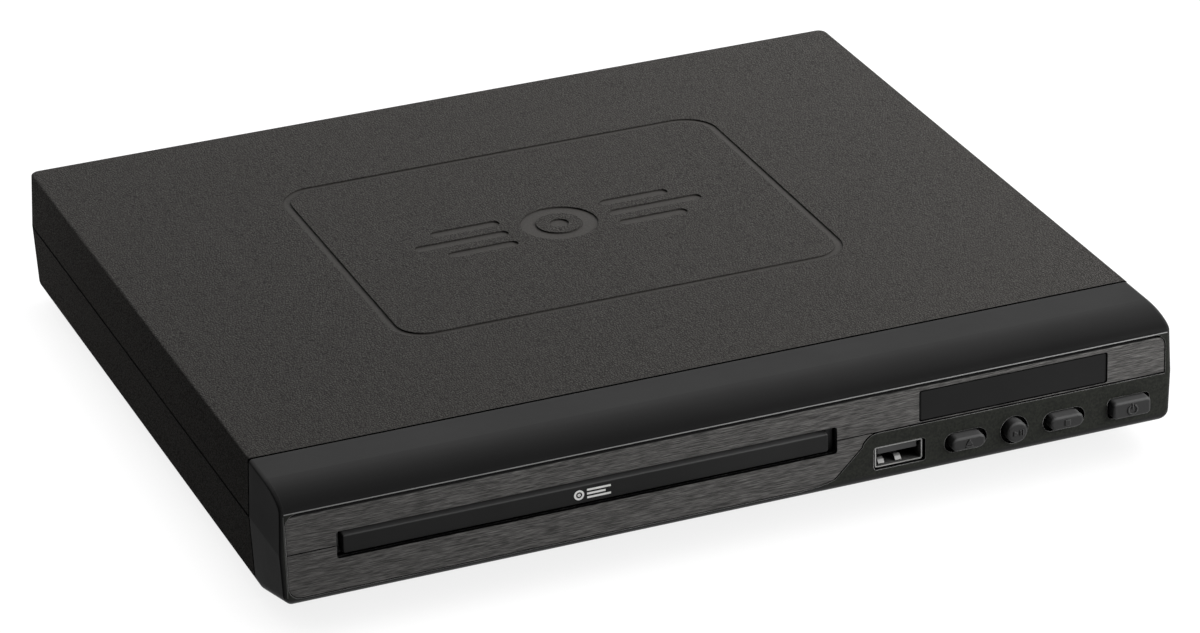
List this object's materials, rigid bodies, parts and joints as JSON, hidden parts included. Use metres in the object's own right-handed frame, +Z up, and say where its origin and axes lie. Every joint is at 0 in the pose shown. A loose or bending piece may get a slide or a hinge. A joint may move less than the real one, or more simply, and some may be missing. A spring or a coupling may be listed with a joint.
{
  "type": "disc player",
  "caption": "Flat disc player with a motor-driven tray, brushed front strips, front port and push buttons.",
  "frame": {"origin": "on the surface that the feet stand on, under the middle of the body", "axes": "+X to the right seen from the front, +Y to the back, +Z up"},
  "size_m": [0.24, 0.2204, 0.0388],
  "materials": {
    "grained_black": "fine leather-like moulded grain",
    "satin_black": "satin moulded plastic",
    "brushed_trim": "fine horizontal brush lines",
    "tray_black": "semi-gloss moulded plastic",
    "window_gloss": "polished dark smoke plastic",
    "button_black": "satin",
    "plated_steel": "nickel plating",
    "gold_contact": "gold plating",
    "rubber": "matte",
    "screw_steel": "zinc plating",
    "steel_sheet": "bright sheet",
    "board": "green solder resist",
    "paper_board": "phenolic paper board",
    "chip": "moulded epoxy",
    "can": "sleeved can",
    "white_plastic": "natural acetal",
    "grey_plastic": "moulded",
    "display": "moulded",
    "glass": "clear",
    "ribbon": "flat cable jacket",
    "winding": "tape over windings"
  },
  "bodies": {
    "root": {"top_cover": "grained_black", "bottom_case": "grained_black", "front_bezel": "satin_black", "upper_trim": "brushed_trim", "lower_trim": "brushed_trim", "display_window": "window_gloss", "rear_panel": "satin_black", "rubber_feet": "rubber", "case_screws": "screw_steel", "usb_shell": "plated_steel", "usb_tongue": "tray_black", "usb_contacts": "gold_contact", "tact_switches": "chip", "power_switch": "chip", "front_board": "paper_board", "display_module": "display", "ir_receiver": "chip", "main_board": "board", "decoder_chips": "chip", "board_capacitors": "can", "rca_block": "chip", "rca_barrels": "plated_steel", "scart_socket": "chip", "mains_inlet": "chip", "inlet_pins": "plated_steel", "power_board": "paper_board", "transformer": "winding", "power_capacitors": "can", "fuse": "glass", "heat_sink": "can", "board_screws": "screw_steel", "ribbon_cables": "ribbon", "loader_frame": "grey_plastic", "loader_screws": "screw_steel", "clamp_bridge": "steel_sheet", "drive_belt": "rubber", "loading_motor": "plated_steel"},
    "tray": {"disc_tray": "tray_black", "tray_door": "tray_black"},
    "drive_gear_body": {"drive_gear": "white_plastic"},
    "pulley_gear_body": {"pulley_gear": "white_plastic"},
    "motor_pulley_body": {"motor_pulley": "white_plastic"},
    "cam_body": {"cam_slider": "white_plastic"},
    "traverse": {"tilt_frame": "grey_plastic", "dampers": "rubber", "damper_screws": "screw_steel", "mech_plate": "steel_sheet", "spindle_motor": "plated_steel", "guide_rods": "plated_steel", "sled_motor": "plated_steel"},
    "turntable_body": {"turntable": "chip"},
    "pickup": {"pickup_body": "chip", "pickup_lens": "glass"},
    "sled_gear_body": {"sled_gear": "white_plastic"},
    "sled_pinion_body": {"sled_pinion": "white_plastic"},
    "puck_body": {"clamp_puck": "white_plastic"},
    "eject_body": {"eject_button": "button_black"},
    "play_body": {"play_button": "button_black"},
    "stop_body": {"stop_button": "button_black"},
    "power_body": {"power_button": "button_black"}
  },
  "joints": [
    {"name": "tray_slide", "type": "slide", "parent": "root", "child": "tray", "axis": [0, -1, 0], "range_m": [0, 0.134]},
    {"name": "drive_gear_spin", "type": "hinge", "parent": "root", "child": "drive_gear_body", "pos_m": [0.03148, -0.072, 0.02], "axis": [0, 0, 1], "continuous": true},
    {"name": "pulley_gear_spin", "type": "hinge", "parent": "root", "child": "pulley_gear_body", "pos_m": [0.04721, -0.06099, 0.02], "axis": [0, 0, 1], "continuous": true},
    {"name": "motor_pulley_spin", "type": "hinge", "parent": "root", "child": "motor_pulley_body", "pos_m": [0.0542, -0.03491, 0.02], "axis": [0, 0, 1], "continuous": true},
    {"name": "traverse_tilt", "type": "hinge", "parent": "root", "child": "traverse", "pos_m": [-0.0396, 0.0405, 0.014], "axis": [1, 0, 0], "range_deg": [0, 3.39]},
    {"name": "cam_slide", "type": "slide", "parent": "root", "child": "cam_body", "axis": [-1, 0, 0], "range_m": [0, 0.0121]},
    {"name": "turntable_spin", "type": "hinge", "parent": "traverse", "child": "turntable_body", "pos_m": [-0.0396, -0.0355, 0.022], "axis": [0, 0, 1], "continuous": true},
    {"name": "pickup_slide", "type": "slide", "parent": "traverse", "child": "pickup", "axis": [0, 1, 0], "range_m": [0, 0.034]},
    {"name": "sled_gear_spin", "type": "hinge", "parent": "traverse", "child": "sled_gear_body", "pos_m": [-0.0152, -0.0025, 0.019], "axis": [0, 0, 1], "continuous": true},
    {"name": "sled_pinion_spin", "type": "hinge", "parent": "traverse", "child": "sled_pinion_body", "pos_m": [-0.0077, -0.0025, 0.019], "axis": [0, 0, 1], "continuous": true},
    {"name": "puck_spin", "type": "hinge", "parent": "root", "child": "puck_body", "pos_m": [-0.0396, -0.0355, 0.03], "axis": [0, 0, 1], "continuous": true},
    {"name": "eject_press", "type": "slide", "parent": "root", "child": "eject_body", "axis": [0, 1, 0], "range_m": [0, 0.0006], "stiffness_N_per_m": 400},
    {"name": "play_press", "type": "slide", "parent": "root", "child": "play_body", "axis": [0, 1, 0], "range_m": [0, 0.0006], "stiffness_N_per_m": 400},
    {"name": "stop_press", "type": "slide", "parent": "root", "child": "stop_body", "axis": [0, 1, 0], "range_m": [0, 0.0006], "stiffness_N_per_m": 400},
    {"name": "power_press", "type": "slide", "parent": "root", "child": "power_body", "axis": [0, 1, 0], "range_m": [0, 0.002], "stiffness_N_per_m": 400}
  ],
  "couplings": [
    {"joint": "drive_gear_spin", "follows": "tray_slide", "rad_per_m": 125},
    {"joint": "pulley_gear_spin", "follows": "tray_slide", "rad_per_m": -375},
    {"joint": "motor_pulley_spin", "follows": "tray_slide", "rad_per_m": -1036.8},
    {"joint": "cam_slide", "follows": "traverse_tilt", "m_per_rad": 0.20255},
    {"joint": "sled_gear_spin", "follows": "pickup_slide", "rad_per_m": -200},
    {"joint": "sled_pinion_spin", "follows": "pickup_slide", "rad_per_m": 400},
    {"joint": "puck_spin", "follows": "turntable_spin", "ratio": 1}
  ]
}
